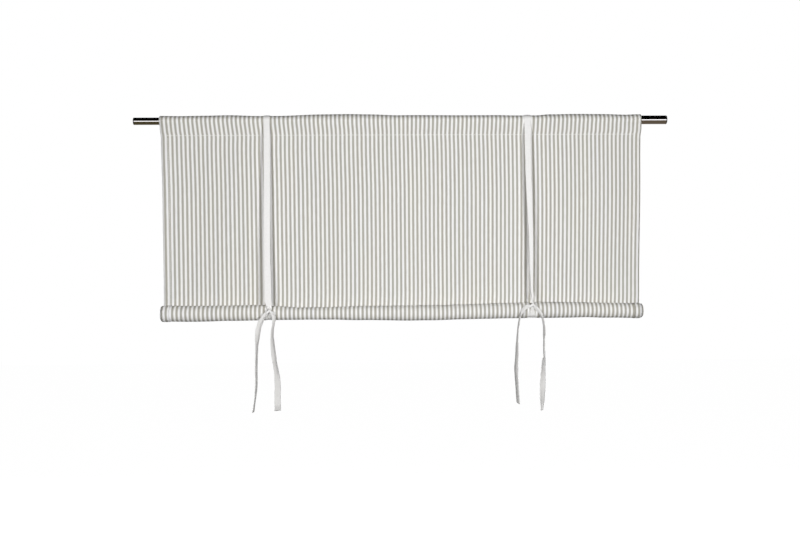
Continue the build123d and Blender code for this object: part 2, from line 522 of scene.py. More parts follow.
@dataclass
class Cloth:
    """The whole cloth as one sheet: the pocket over the rod, the panel, and the roll wound to the front.

    Place on the sheet is given by a share from the left edge to the right edge, and by the run down the
    cloth from the pocket's seam, which is negative in the pocket. Keys along the width are in X. A fold of
    the pocket is a wave with a height, a length and a start. One of the panel has a length across, a length
    down and a start after its height, and a lump of the roll a length, a count round the roll and a start.
    """

    thickness: float = 0.55
    width: float = 1000.0
    seam_drop: float = 28.5
    seam_half_gap: float = 0.3
    pocket_radius: float = 9.58
    turns: float = 11.5
    dense_turns: float = 1.3
    dowel_room: float = 5.6
    hem_width: float = 16.0
    hem_lift: float = 0.8
    hem_rise: float = 4.0
    hem_turns: float = 0.9
    hem_fold: float = 2.0
    stripes_left: float = 56.66
    stripes_right: float = 56.87
    squeeze: float = 2.3
    squeeze_spread: float = 6.5
    groove_depth: float = 2.2
    groove_offset: float = 10.0
    groove_spread: float = 3.4
    groove_sides: Keys = ((-1, 1.0), (1, 0.8))
    bulge: float = 0.36
    pinch: float = 14.0
    pinch_power: int = 4
    top_power: float = 1.6
    back_slack: float = 0.5
    pocket_crease: float = 0.12
    pocket_folds: Waves = ((0.54, 74.0, 0.6), (0.36, 41.0, 2.0))
    panel_folds: Waves = (
        (1.3, 236.0, 1900.0, 0.4), (0.9, 131.0, -1300.0, 2.1), (0.55, 83.0, 900.0, 4.4),
        (0.35, 47.0, -700.0, 1.0), (0.5, 390.0, 310.0, 5.2),
    )
    panel_free: float = 0.6
    groove_fade: Keys = ((0, 0.5), (0.1, 1.0), (0.9, 1.0), (1.0, 0.25))
    lump_height: float = 0.10
    inward_fade: int = 3
    lumps: Waves = ((17.0, 3, 0.0), (41.0, -2, 1.0), (9.3, 1, 2.0))
    girth_fade: Keys = ((0.05, 0), (0.25, 1))
    roll_settle: Keys = ((0.0, 0), (0.2, 1))
    tie_lines: tuple[Keys, Keys] = (
        ((-394, -275.0), (-372, -278.6), (-248, -280.2), (-83, -279.8), (0, -279.9)),
        ((-387, 268.6), (-355, 264.2), (-251, 265.3), (-85, 262.3), (0, 262.0)),
    )
    top_keys: Keys = (
        (-500, 10.75), (-460, 10.15), (-412, 10.85), (-360, 11.85), (-297, 9.95), (-262, 9.95), (-164, 13.05),
        (-114, 13.55), (-64, 12.75), (-10, 10.75), (36, 10.95), (120, 10.35), (205, 10.45), (232, 9.75),
        (282, 9.80), (308, 11.85), (370, 12.65), (420, 12.15), (470, 10.75), (490, 11.55),
    )
    girth_keys: Keys = (
        (-490, 1.155), (-430, 1.155), (-360, 1.075), (-310, 1.115), (-205, 0.745), (-160, 0.745),
        (-80, 0.955), (20, 1.085), (130, 1.045), (210, 1.105), (300, 1.195), (400, 1.055), (480, 1.035),
    )
    sag_keys: Keys = (
        (-484, 0.5), (-435, 0.1), (-360, 0.7), (-310, 1.4), (-205, -1.1), (-160, -1.2), (-80, -0.9),
        (10, -1.4), (60, -1.4), (140, 0.4), (213, 1.9), (300, 3.0), (375, 2.6), (434, 1.3), (480, 0.2),
    )
    stations: tuple[StripeStation, ...] = (
        StripeStation(-60, 4.10, 8.820, 0.0016),
        StripeStation(-25, 4.25, 8.824, 0.0016),
        StripeStation(-6, 5.00, 8.833, 0.0017),
        StripeStation(5, 5.10, 8.817, 0.0017),
        StripeStation(135, 6.60, 8.815, 0.0018),
        StripeStation(330, 7.00, 8.792, 0.0022),
        StripeStation(395, 5.40, 8.782, 0.0021),
        StripeStation(440, 5.40, 8.782, 0.0021),
        StripeStation(520, 5.20, 8.813, 0.0019),
        StripeStation(700, 5.15, 8.830, 0.0018),
    )
    panel_sway_keys: Keys = (
        (-500, 0.7), (-390, 0.0), (-240, 0.1), (-85, 0.7), (80, -0.6), (215, -0.3), (355, 0.5), (440, -0.6),
    )
    seam_sway_keys: Keys = (
        (-450, 0.2), (-390, 0.8), (-320, 1.0), (-225, 0.6), (-55, 0.4), (50, -1.2), (145, -1.0), (320, -0.8),
        (390, -0.4), (455, 0.2),
    )
    seam_fade: Keys = ((-26, 0.0), (-2, 1.0), (4, 0.9), (14, 0.4), (40, 0.0))
    roll_sway_keys: Keys = (
        (-460, 0.4), (-380, 0.3), (-200, -0.4), (-60, -0.1), (60, -0.4), (170, -0.6), (240, -0.6),
        (290, -1.5), (350, -1.3), (420, -0.7), (480, -0.1),
    )
    roll_fade: Keys = ((380, 0.0), (396, 1.0), (450, 1.0), (500, 0.0))
    arc_rows: int = 24
    wall_rows: int = 9
    panel_rows: int = 46
    outer_rows: int = 48
    inner_rows: int = 220
    inner_columns: int = 34
    hem_rows: int = 40
    hem_columns: int = 5
    even_columns: int = 180
    column_digits: int = 5
    tape_columns: int = 46
    tape_span: tuple[float, float] = (-22, 26)
    roll_radius: float = field(init=False)
    roll_y: float = field(init=False)
    roll_z: float = field(init=False)
    panel_run: float = field(init=False)
    first_angle: float = field(init=False)

    def __post_init__(self) -> None:
        """Take the roll's size and place from the CAD cloth, and work out where the panel meets it."""
        low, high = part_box("blind_cloth")
        front, back, bottom = low.y / MM, high.y / MM, low.z / MM
        self.roll_radius = (back - front - self.thickness) / 2
        self.roll_y = (front + back) / 2
        self.roll_z = bottom + (back - front) / 2
        reach = np.array([self.roll_y, self.roll_z + self.seam_drop])
        distance = np.hypot(*reach)
        self.panel_run = float(np.sqrt(distance**2 - self.roll_radius**2))
        self.first_angle = float(np.arcsin(self.roll_radius / distance) + np.arctan2(reach[0], -reach[1]))

    def stripe(self, share: Array) -> Array:
        """The stripe's number at a share of the width, 0 at the stripe nearest the middle."""
        return -self.stripes_left + (self.stripes_left + self.stripes_right) * share

    def across(self, share: Array, run: Array) -> Array:
        """The place along X of a point of the sheet, from the stripe stations above and below it.

        Args:
            share: Shares of the width.
            run: Runs down the cloth.
        Returns:
            The places along X.
        """
        number = self.stripe(share)
        middle, pitch, crowding = (
            eased(run, [(s.down, getattr(s, size)) for s in self.stations])
            for size in ("middle", "pitch", "crowding")
        )
        even = middle + pitch * number - crowding * number**2
        sway = eased(even, self.panel_sway_keys) * np.sin(np.pi * np.clip(run / self.panel_run, 0, 1))
        at_seam = eased(even, self.seam_sway_keys) * eased(run, self.seam_fade)
        at_roll = eased(even, self.roll_sway_keys) * eased(run, self.roll_fade)
        return even + sway + at_seam + at_roll

    def surface(self, x: Array, y: Array, z: Array, share: Array, run: Array) -> Patch:
        """A patch with the flat coordinates from the left edge and down from the seam."""
        return Patch(stacked(x, y, z), stacked(share * self.width, run))

    def from_tie(self, x: Array, z: Array) -> list[Array]:
        """The distance along X from each tape's middle line."""
        return [x - eased(z, line) for line in self.tie_lines]

    def lift(self, x: Array) -> Array:
        """How far the pocket's top stands above a pocket drawn tight round the rod."""
        return eased(x, self.top_keys) - self.pocket_radius - self.thickness / 2

    def grooves(self, x: Array, z: Array) -> Array:
        """The two creases that run down beside each tape, as a depth towards the back.

        Args:
            x: Places along X.
            z: Heights.
        Returns:
            The depths.
        """
        depth = np.zeros(np.broadcast(x, z).shape)
        for off in self.from_tie(x, z):
            for side, share in self.groove_sides:
                depth = depth + share * bump_at(off, side * self.groove_offset, self.groove_spread)
        return self.groove_depth * depth

    def ripple(self, x: Array, z: Array) -> Array:
        """Soft folds of the panel: a few long slanting waves, some upright and some drawn to the ties.

        Args:
            x: Places along X.
            z: Heights.
        Returns:
            The sum of the sines, as a depth towards the back.
        """
        return sum(
            size * np.sin(FULL_TURN * (x / wide + z / tall) + start)
            for size, wide, tall, start in self.panel_folds
        )

    def pocket(self, share: Array) -> Patch:
        """The pocket from its seam at the back, up, over the rod and down to the seam at the front.

        Two straight walls are tangent to an arc round the rod. The pocket is loose, so it bulges to the
        front and back except where a tape pinches it. The top of the arc is lifted to the height that the
        cloth stands at, and the front wall has shallow folds.

        Args:
            share: Shares of the width, one row.
        Returns:
            The surface.
        """
        radius = self.pocket_radius
        tangent = np.arcsin(radius / self.seam_drop)
        wall = self.seam_drop * np.cos(tangent)
        angle = column(-tangent, np.pi + tangent, self.arc_rows)
        arc = stacked(radius * np.cos(angle), radius * np.sin(angle))
        rise = np.linspace(0, 1, self.wall_rows)[:-1, None, None]
        seam = np.array([self.seam_half_gap, -self.seam_drop])
        back = seam + (arc[:1] - seam) * rise
        mirror = np.array([-1.0, 1.0])
        line = np.concatenate([back, arc, (back * mirror)[::-1]])
        run = np.concatenate([
            wall * rise[..., 0], wall + radius * (angle + tangent),
            2 * wall + radius * (np.pi + 2 * tangent) - wall * rise[::-1, :, 0],
        ])
        run = run - run[-1]
        y, z = line[..., 0], line[..., 1]
        x = self.across(share, run)
        upward = np.clip(z / radius, 0, 1) ** self.top_power
        slack = np.sin(np.pi * np.clip(-z / self.seam_drop, 0, 1)) * np.where(y < 0, 1, self.back_slack)
        folds = sum(size * np.sin(FULL_TURN * x / wide + start) for size, wide, start in self.pocket_folds)
        loose = 1 - sum(np.exp(-((off / self.pinch) ** self.pinch_power)) for off in self.from_tie(x, z))
        crease = self.pocket_crease * self.grooves(x, z) * (y < 0)
        y = y * (1 + self.bulge * loose) + slack * (folds + crease)
        return self.surface(x, y, z + upward * self.lift(x), share, run)

    def panel(self, share: Array, down: Array) -> Patch:
        """The panel: a straight fall from the seam to the back of the roll, with folds and tie creases.

        Args:
            share: Shares of the width, one row.
            down: Shares of the fall, one column.
        Returns:
            The surface.
        """
        run = down * self.panel_run
        x = self.across(share, run)
        y = run * np.sin(self.first_angle) - self.seam_half_gap * (1 - down)
        z = -self.seam_drop - run * np.cos(self.first_angle)
        free = np.sin(np.pi * np.clip(down, 0, 1)) ** self.panel_free
        y = y + free * self.ripple(x, z) + eased(down, self.groove_fade) * self.grooves(x, z)
        return self.surface(x, y, z, share, run)

    def roll(self, share: Array, turn: Array) -> Patch:
        """The winding: a spiral from the back of the roll, under it, up its front and inwards.

        The radius falls evenly from the outside to the room round the dowel. The outer turns vary in
        girth, lie a little lumpy and are drawn in under the tapes.

        Args:
            share: Shares of the width, one row.
            turn: Turns from the start of the roll, one column.
        Returns:
            The surface.
        """
        left = 1 - turn / self.turns
        depth = self.roll_radius - self.dowel_room
        run = self.panel_run + FULL_TURN * turn * (self.dowel_room + depth * (1 + left) / 2)
        x = self.across(share, run)
        girth = 1 + (eased(x, self.girth_keys) - 1) * eased(turn, self.girth_fade)
        angle = self.first_angle - FULL_TURN * turn
        settled = eased(turn, self.roll_settle)
        outer = np.clip(left, 0, 1) ** self.inward_fade * settled
        lumps = sum(np.sin(x / wide + count * angle + start) for wide, count, start in self.lumps)
        radius = self.dowel_room + depth * left * girth + self.lump_height * outer * lumps
        for off in self.from_tie(x, np.array(self.roll_z)):
            radius = radius - self.squeeze * outer * bump_at(off, 0, self.squeeze_spread)
        sag = eased(x, self.sag_keys) * settled
        y = self.roll_y + radius * np.cos(angle)
        return self.surface(x, y, self.roll_z + sag + radius * np.sin(angle), share, run)

    def side_hem(self, edge: float, inward: float, down: Array, turn: Array) -> list[Patch]:
        """One side hem, the edge turned to the back: behind the panel, and outside the roll's first turn.

        The cloth is rolled up to the front, so the roll shows the cloth's back with its hems. The hem rises
        to its full lift in the first quarter of its width.

        Args:
            edge: The edge's share of the width.
            inward: 1 at the left edge and -1 at the right edge.
            down: Shares of the panel's fall, one column.
            turn: Turns from the start of the roll, one column.
        Returns:
            The hem on the panel and the hem on the roll.
        """
        turned = np.linspace(0, 1, self.hem_columns)[None, :] * self.hem_width / self.width
        lift = self.hem_lift * np.minimum(1, self.hem_rise * turned * self.width / self.hem_width)
        behind = self.panel(edge + inward * turned, down)
        behind.points[..., 1] += lift
        around = self.roll(edge + inward * turned, turn)
        outward = unit(around.points[..., 1:] - np.array([self.roll_y, self.roll_z]))
        around.points[..., 1:] += lift[..., None] * outward
        for hem in (behind, around):
            hem.uv[..., 0] = (edge - inward * turned) * self.width - inward * self.hem_fold
        return [behind, around]

    def columns(self) -> Array:
        """Shares of the width, evenly spread and closer beside the tapes.

        Returns:
            The shares, one row.
        """
        even = np.linspace(0, 1, self.even_columns)
        span = np.linspace(*self.tape_span, self.tape_columns)
        near = [0.5 + (line[-1][1] + span) / self.width for line in self.tie_lines]
        return np.unique(np.round(np.concatenate([even, *near]), self.column_digits))[None, :]

    def build(self, finish: Finish) -> Object:
        """Args:
            finish: The cloth's finish.
        Returns:
            The sheet.
        """
        share = self.columns()
        down = column(0, 1, self.panel_rows)
        outer = column(0, self.dense_turns, self.outer_rows)[1:]
        inner = column(self.dense_turns, self.turns, self.inner_rows)
        front = [self.pocket(share), self.panel(share, down[1:]), self.roll(share, outer)]
        whole = Patch(
            np.concatenate([patch.points for patch in front]), np.concatenate([patch.uv for patch in front])
        )
        coarse = self.roll(np.linspace(0, 1, self.inner_columns)[None, :], inner)
        hem_turn = column(0, self.hem_turns, self.hem_rows)
        hems = self.side_hem(0.0, 1.0, down, hem_turn) + self.side_hem(1.0, -1.0, down, hem_turn)
        sheet = piece_from("striped_cloth", [whole, coarse, *hems], finish.make())
        thicken(sheet, self.thickness)
        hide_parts("blind_cloth")
        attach(sheet, Body.BLIND.value)
        return sheet


@dataclass
class SeamStitches:
    """Lockstitch rows in sewing cotton: one along the pocket's seam and one down each side hem."""

    cloth: Cloth
    pitch: float = 3.6
    length: float = 3.2
    radius: float = 0.5
    edge_inset: float = 14.0
    seam_share: float = 0.004
    top_gap: float = 8.0
    bottom_gap: float = 12.0
    blunt: float = 1.1
    bow: float = 0.8
    dip: float = 1.2
    rings: int = 7
    around: int = 8

    def row(self, middles: Array, along: Array) -> Patch:
        """Short threads that bow out of the cloth: a ring round each, drawn in towards both ends.

        Args:
            middles: The middle of each stitch.
            along: The unit direction of the row.
        Returns:
            One closed tube for each stitch, in a single patch.
        """
        reach = np.linspace(-1, 1, self.rings)[None, :, None, None]
        turn = np.linspace(0, FULL_TURN, self.around, endpoint=False)[None, None, :, None]
        slim = self.radius * np.sqrt(self.blunt - reach**2)
        outward = np.array([0.0, -1.0, 0.0])
        beside = np.cross(along, outward)
        bow = outward * self.radius * (self.bow - self.dip * reach**2)
        ring = slim * (np.cos(turn) * outward + np.sin(turn) * beside)
        points = middles[:, None, None, :] + reach * self.length / 2 * along + bow + ring
        points = points.reshape(-1, self.around, 3)
        return Patch(points, np.zeros((*points.shape[:2], 2)), close_columns=True, strip_rows=self.rings)

    def build(self, finish: Finish) -> Object:
        """Make all rows as one piece of thread on the cloth.

        Args:
            finish: The thread's finish.
        Returns:
            The thread.
        """
        cloth = self.cloth
        share = np.arange(self.edge_inset, cloth.width - self.edge_inset, self.pitch)[None, :] / cloth.width
        seam = cloth.panel(share, np.array([[self.seam_share]])).points[0]
        bottom = cloth.panel_run - self.bottom_gap
        fall = np.arange(self.top_gap, bottom, self.pitch)[:, None] / cloth.panel_run
        hem = self.edge_inset / cloth.width
        sides = [cloth.panel(np.array([[edge]]), fall).points[:, 0] for edge in (hem, 1 - hem)]
        front = np.array([0.0, -cloth.thickness / 2, 0.0])
        patches = [self.row(seam + front, np.array([1.0, 0.0, 0.0]))]
        patches += [self.row(side + front, np.array([0.0, 0.0, 1.0])) for side in sides]
        thread = piece_from("seam_stitching", patches, finish.make())
        close_up(thread)
        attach(thread, Body.BLIND.value)
        LOG.info("seam stitching, %d stitches", len(seam) + 2 * len(fall))
        return thread


# Ties


@dataclass(frozen=True)
class Tail:
    """One free end of a tie: a tape that hangs from the knot, twisting as it goes.

    Shares run from the knot to the cut end. Twist 0 shows the tape's face to the front and 90 its edge. The
    fold is how far the tape's middle stands out from its edges. The slant is that of the cut end, and the
    flap is how far the last few millimetres hang back.
    """

    letter: str
    route: Keys
    length: float
    twist: Keys
    half_width: Keys
    fold: Keys
    slant: float = 1.0
    flap: float = 0.0


@dataclass(frozen=True)
class Lobe:
    """One turn of the tape in a knot: a flattened ring of gathered tape.

    Wide and deep are half the ring's size across and from front to back. Band and thick are the width and
    thickness of the gathered tape.
    """

    wide: float
    deep: float
    band: float
    thick: float
    aside: float = 2.6
    back: float = 0.6
    pleats: int = 5
    pleat_depth: float = 0.16
    pleat_sway: float = 1.5
    swell: float = 0.12
    swell_start: float = 0.7
    wrap: float = 6.0
    rings: int = 49
    around: int = 20

    def ring(self, turned: float) -> Patch:
        """The ring about the knot's middle, as a closed surface.

        Args:
            turned: Its turn in the front view, in degrees. It lies on the side that it slopes down to.
        Returns:
            The surface, pleated along the ring.
        """
        way = column(0, FULL_TURN, self.rings)
        section = np.linspace(0, FULL_TURN, self.around, endpoint=False)[None, :]
        pleat = 1 + self.pleat_depth * np.cos(self.pleats * section + self.pleat_sway * np.sin(way))
        swell = 1 + self.swell * np.sin(2 * way + self.swell_start)
        out = self.thick / 2 * pleat * np.cos(section) * swell
        x = (self.wide + out) * np.cos(way)
        y = (self.deep + out) * np.sin(way)
        z = self.band / 2 * pleat * np.sin(section) * swell
        points = stacked(x, y, z) @ np.array(Matrix.Rotation(np.radians(turned), 3, "Y")).T
        points[-1] = points[0]
        points += np.array([np.sign(turned) * self.aside, self.back, 0.0])
        return Patch(points, stacked(self.band * section / self.wrap, self.wide * way), close_columns=True)


@dataclass
class Tie:
    """One tape: round the pocket's top and under the roll, knotted on the front, with two tails.

    The line gives the tape's place along X by height. The necks give its half width by the distance from the
    knot, above and below it.
    """

    side: str
    cloth: Cloth
    line: Keys
    tuck: Keys
    knot_x: float
    rise: float
    tails: tuple[Tail, Tail]
    front_y: float = -22.8
    tape_width: float = 13.0
    tuck_turn: float = 76.0
    tape_thickness: float = 0.8
    ease: float = 0.35
    neck: Keys = ((0, 3.6), (6, 5.0), (16, 6.5))
    under_neck: Keys = ((0, 2.9), (20, 5.6), (36, 6.5))
    pleat: float = 3.4
    pleat_wave: tuple[float, float] = (3.4, 0.3)
    sway: float = 0.25
    sway_length: float = 23.0
    cup: float = 0.35
    cup_level: float = 0.33
    lobes: tuple[Lobe, Lobe] = (Lobe(5.4, 3.6, 5.0, 2.2), Lobe(5.0, 3.0, 4.8, 2.0))
    lobe_turns: tuple[float, float] = (-42.0, 48.0)
    lobe_drop: float = 3.6
    fold_level: float = 0.45
    fold_softness: float = 0.03
    gather: float = 1.5
    gather_wave: tuple[float, float] = (2.3, 0.5)
    cut_start: float = 0.9
    flap_start: float = 0.945
    band_columns: int = 23
    over_rows: int = 26
    under_rows: int = 34
    leg_rows: int = 84
    tail_rows: int = 96
    tail_columns: int = 11
    weld: float = 0.01

    @property
    def knot(self) -> Array:
        """The middle of the knot, which lies above the roll's axis by its rise."""
        return np.array([self.knot_x, self.front_y, self.cloth.roll_z + self.rise])

    def middle_line(self) -> Array:
        """The tape's line in Y and Z, from the knot up, over the pocket, down the back and under the roll.

        Two circles, one round the pocket's top and one round the roll, are joined by their outer tangents.
        A tangent's normal makes the cosine of the difference of the radii over the distance with the line
        of centres.

        Returns:
            Points in Y and Z, one to a row.
        """
        cloth = self.cloth
        here = np.array(self.knot_x)
        gap = cloth.thickness / 2 + self.tape_thickness / 2 + self.ease
        top = np.array([0.0, float(cloth.lift(np.array(self.line[-1][1])))])
        low = np.array([cloth.roll_y, cloth.roll_z + float(eased(here, cloth.sag_keys))])
        wound = (cloth.roll_radius - cloth.dowel_room) * float(eased(here, cloth.girth_keys))
        top_radius, low_radius = cloth.pocket_radius + gap, cloth.dowel_room + wound - cloth.squeeze + gap
        reach = low - top
        heading = np.arctan2(reach[1], reach[0])
        swing = np.arccos((top_radius - low_radius) / np.hypot(*reach))
        front, back = heading - swing, heading + swing
        over = column(front, back - FULL_TURN, self.over_rows)
        under = column(back, front, self.under_rows)
        over_line = top + top_radius * np.hstack([np.cos(over), np.sin(over)])
        under_line = low + low_radius * np.hstack([np.cos(under), np.sin(under)])
        legs = column(0, 1, self.leg_rows)[1:-1]
        front_leg = under_line[-1] + (over_line[0] - under_line[-1]) * legs
        back_leg = over_line[-1] + (under_line[0] - over_line[-1]) * legs
        line = np.concatenate([front_leg, over_line, back_leg, under_line, front_leg])
        start = int(np.argmin(np.abs(front_leg[:, 1] - self.knot[2])))
        return line[start:len(line) - len(front_leg) + start + 1]

    def loop(self) -> Patch:
        """The tape along its line: full width, then drawn together into pleats where it enters the knot.

        Left of its tuck, which is a share of the half width, the tape turns back by the tuck's angle.

        Returns:
            The surface.
        """
        line = self.middle_line()
        run = run_along(line)
        along = unit(np.gradient(line, axis=0))
        half = np.minimum(eased(run, self.neck), eased(run[-1] - run, self.under_neck))[:, None]
        place = np.linspace(-1, 1, self.band_columns)[None, :]
        open_share = np.clip((2 * half / self.tape_width), 0, 1)
        waves, start = self.pleat_wave
        pleats = self.pleat * (1 - open_share) * np.cos(np.pi * (waves * place + start))
        sway = self.sway * open_share * np.sin(run[:, None] / self.sway_length) * place
        cupped = self.cup * open_share * (place**2 - self.cup_level)
        front = (run < run[-1] / 2)[:, None]
        turned = np.clip(eased(line[:, 1:], self.tuck) - place, 0, None) * open_share * front
        angle = np.radians(self.tuck_turn)
        x = half * (place + turned * (1 - np.cos(angle)))
        out = pleats + sway + cupped
        y = line[:, :1] + out * along[:, 1:] + half * turned * np.sin(angle)
        z = line[:, 1:] - out * along[:, :1]
        uv = stacked(place * self.tape_width / 2, run[:, None])
        return Patch(stacked(x + eased(z, self.line), y, z), uv)

    def knot_turns(self) -> list[Patch]:
        """The knot's two turns: the left one in front of the right one.

        Returns:
            The two closed surfaces.
        """
        rings = [lobe.ring(turned) for lobe, turned in zip(self.lobes, self.lobe_turns)]
        for ring in rings:
            ring.points += self.knot - np.array([0.0, 0.0, self.lobe_drop])
        return rings

    def tail_path(self, tail: Tail) -> Array:
        """The tail's line in metres, as the spline through its route gives it.

        Args:
            tail: The tail.
        Returns:
            Points of the line, one to a row.
        """
        offsets = np.array(tail.route, float)
        flat = np.zeros((len(offsets), 1))
        points = (self.knot + np.hstack([offsets[:, :1], flat, offsets[:, 1:]])) * MM
        return spline_points(points.tolist())

    def ribbon(self, tail: Tail, path: Array) -> Patch:
        """A tape that follows the path: its width turns about the path by the tail's twist.

        Args:
            tail: The tail.
            path: Points of the path in metres.
        Returns:
            The surface, folded along its middle, with a slanting cut at the end.
        """
        line = path / MM
        run = run_along(line)
        share = np.linspace(0, 1, self.tail_rows)
        at = share * run[-1]
        middle = np.stack([np.interp(at, run, line[:, axis]) for axis in range(3)], axis=-1)
        along = unit(np.gradient(middle, axis=0))
        forward = np.array([0.0, -1.0, 0.0])
        beside = np.cross(along, forward)
        angle = np.radians(eased(share, tail.twist))[:, None]
        wide = np.cos(angle) * beside + np.sin(angle) * forward
        face = np.cos(angle) * forward - np.sin(angle) * beside
        place = np.linspace(-1, 1, self.tail_columns)[None, :, None]
        half = eased(share, tail.half_width)[:, None, None]
        gathered = np.clip(1 - half / (self.tape_width / 2), 0, 1)
        folded = eased(share, tail.fold)[:, None, None]
        waves, start = self.gather_wave
        bow = folded * (self.fold_level - np.sqrt(place**2 + self.fold_softness))
        bow = bow + self.gather * gathered * np.cos(waves * np.pi * place + start)
        points = middle[:, None, :] + half * place * wide[:, None, :] + bow * face[:, None, :]
        firsts = (self.cut_start, self.flap_start)
        cut, flap = (np.clip((share - first) / (1 - first), 0, 1) for first in firsts)
        points += tail.slant * place * along[:, None, :] * cut[:, None, None]
        points[..., 1] += tail.flap * flap[:, None]
        return Patch(points, stacked(place[..., 0] * self.tape_width / 2, at[:, None]))

    def build(self, material: Material, painted_shade_tape: Material) -> list[Object]:
        """Make the loop with its knot, and each tail as a piece of its own.

        Args:
            material: The finish of the loop and the knot.
            painted_shade_tape: The finish of the tails: a darker copy of the tape's finish, whose darkening
                is painted shade.
        Returns:
            The pieces.
        """
        name = f"tie_{self.side}"
        band = piece_from(f"{name}_band", [self.loop()], material)
        thicken(band, self.tape_thickness)
        knot = piece_from(f"{name}_knot", self.knot_turns(), material)
        close_up(knot, self.weld)
        pieces = [band, knot]
        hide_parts(f"{name}_loop")
        for tail in self.tails:
            path = self.tail_path(tail)
            # Each tail takes the darker copy of the tape's finish, which paints shade on it.
            tape = piece_from(f"{name}_end_{tail.letter}", [self.ribbon(tail, path)], painted_shade_tape)
            thicken(tape, self.tape_thickness)
            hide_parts(f"{name}_tail_{tail.letter}")
            pieces.append(tape)
        for piece in pieces:
            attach(piece, Body.BLIND.value)
        LOG.info("%s tie, knot at %s mm", self.side, np.round(self.knot, 1).tolist())
        return pieces


def spline_points(route: Route) -> Array:
    """Read the points of a NURBS spline through a route.

    Args:
        route: Control points in metres.
    Returns:
        The spline's points in order.
    """
    data = bpy.data.curves.new("route", "CURVE")
    data.dimensions = "3D"
    data.resolution_u = SPLINE_STEPS
    spline = data.splines.new("NURBS")
    spline.points.add(len(route) - 1)
    spline.points.foreach_set("co", np.hstack([np.array(route), np.ones((len(route), 1))]).ravel())
    spline.order_u = 3
    spline.use_endpoint_u = True
    holder = bpy.data.objects.new("route", data)
    mesh = bpy.data.meshes.new_from_object(holder)
    points = np.empty(len(mesh.vertices) * 3)
    mesh.vertices.foreach_get("co", points)
    bpy.data.meshes.remove(mesh)
    bpy.data.objects.remove(holder)
    bpy.data.curves.remove(data)
    return points.reshape(-1, 3)


# Rod


@dataclass
class Rod:
    """The telescopic rod and the bar in the hem.

    The two tubes are turned again with finer rounding and a broken edge at each end. The other pieces keep
    their CAD shapes and take finer finishes.
    """

    tubes: tuple[tuple[str, Body], ...] = (("rod_outer_tube", Body.BLIND), ("rod_inner_tube", Body.THIN_TUBE))
    wall: float = 0.8
    edge: float = 0.25
    lip: float = 1.5
    facets: int = 96
    weld: float = 0.01
    finishes: tuple[tuple[tuple[str, ...], Finish], ...] = (
        (("rod_end_plug_left", "rod_end_plug_right"), MouldedPlastic("black_moulded_plastic", 0.1)),
        (("rod_mouth_bush", "rod_guide_sleeve"), MouldedPlastic("natural_nylon", 0.5, "#E4E2DA")),
        (("hem_dowel",), PlanedSoftwood()),
    )

    def tube(self, node: str) -> Patch:
        """Turn one tube's wall about the rod's axis: outside, rounded lips and bore, as one closed ring.

        Args:
            node: The CAD node whose box gives the tube's size.
        Returns:
            The surface.
        """
        low, high = (np.array(corner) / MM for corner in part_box(node))
        radius = (high[2] - low[2]) / 2
        bore = radius - self.wall
        start, end, edge = low[0], high[0], self.edge
        profile = np.array([
            (start, bore + edge), (start, radius - edge), (start + edge, radius), (start + self.lip, radius),
            (end - self.lip, radius), (end - edge, radius), (end, radius - edge), (end, bore + edge),
            (end - edge, bore), (start + edge, bore), (start, bore + edge),
        ])
        turn = np.linspace(0, FULL_TURN, self.facets, endpoint=False)[None, :]
        x, reach = profile[:, :1], profile[:, 1:]
        points = stacked(x, reach * np.cos(turn), reach * np.sin(turn))
        return Patch(points, stacked(x, radius * turn), close_columns=True)

    def build(self) -> None:
        """Make the tubes, and give each CAD piece the material it is made of."""
        metal = PolishedSteel().make()
        for node, body in self.tubes:
            tube = piece_from(node.removeprefix("rod_"), [self.tube(node)], metal)
            close_up(tube, self.weld)
            flat_lips = tube.modifiers.new("normals", "WEIGHTED_NORMAL")
            flat_lips.keep_sharp = False
            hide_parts(node)
            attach(tube, body.value)
            LOG.info("%s turned with %d facets", node, self.facets)
        for nodes, finish in self.finishes:
            material = finish.make()
            for node in nodes:
                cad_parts[node].data.materials[0] = material
                LOG.info("%s in %s", node, material.name)


# Studio


@dataclass(frozen=True)
class Softbox:
    """An even rectangular lamp, given by its place, the point it faces, its size and its power."""

    name: str
    place: tuple[float, float, float]
    towards: tuple[float, float, float]
    size: tuple[float, float]
    power: float

    def build(self) -> None:
        """Place the lamp, hidden from the camera and from the rod's reflection."""
        data = bpy.data.lights.new(self.name, "AREA")
        data.shape = "RECTANGLE"
        data.size, data.size_y = self.size
        data.energy = self.power
        lamp = bpy.data.objects.new(self.name, data)
        lamp.location = self.place
        lamp.rotation_euler = (Vector(self.towards) - Vector(self.place)).to_track_quat("-Z", "Y").to_euler()
        lamp.visible_camera = False
        lamp.visible_glossy = False
        bpy.context.scene.collection.objects.link(lamp)


def bare_material(name: str) -> Material:
    """A material with an empty node tree.

    Args:
        name: The material's name.
    Returns:
        The material.
    """
    material = bpy.data.materials.new(name)
    material.use_nodes = True
    material.node_tree.nodes.clear()
    return material


def staged(name: str, points: list, faces: list, material: Material) -> Object:
    """Put a plain surface in the scene, as staging that isn't part of the blind.

    Args:
        name: The surface's name.
        points: Its corners in metres.
        faces: Its faces, as numbers of corners.
        material: Its material.
    Returns:
        The object.
    """
    mesh = bpy.data.meshes.new(name)
    mesh.from_pydata(points, [], faces)
    mesh.materials.append(material)
    board = bpy.data.objects.new(name, mesh)
    bpy.context.scene.collection.objects.link(board)
    return board


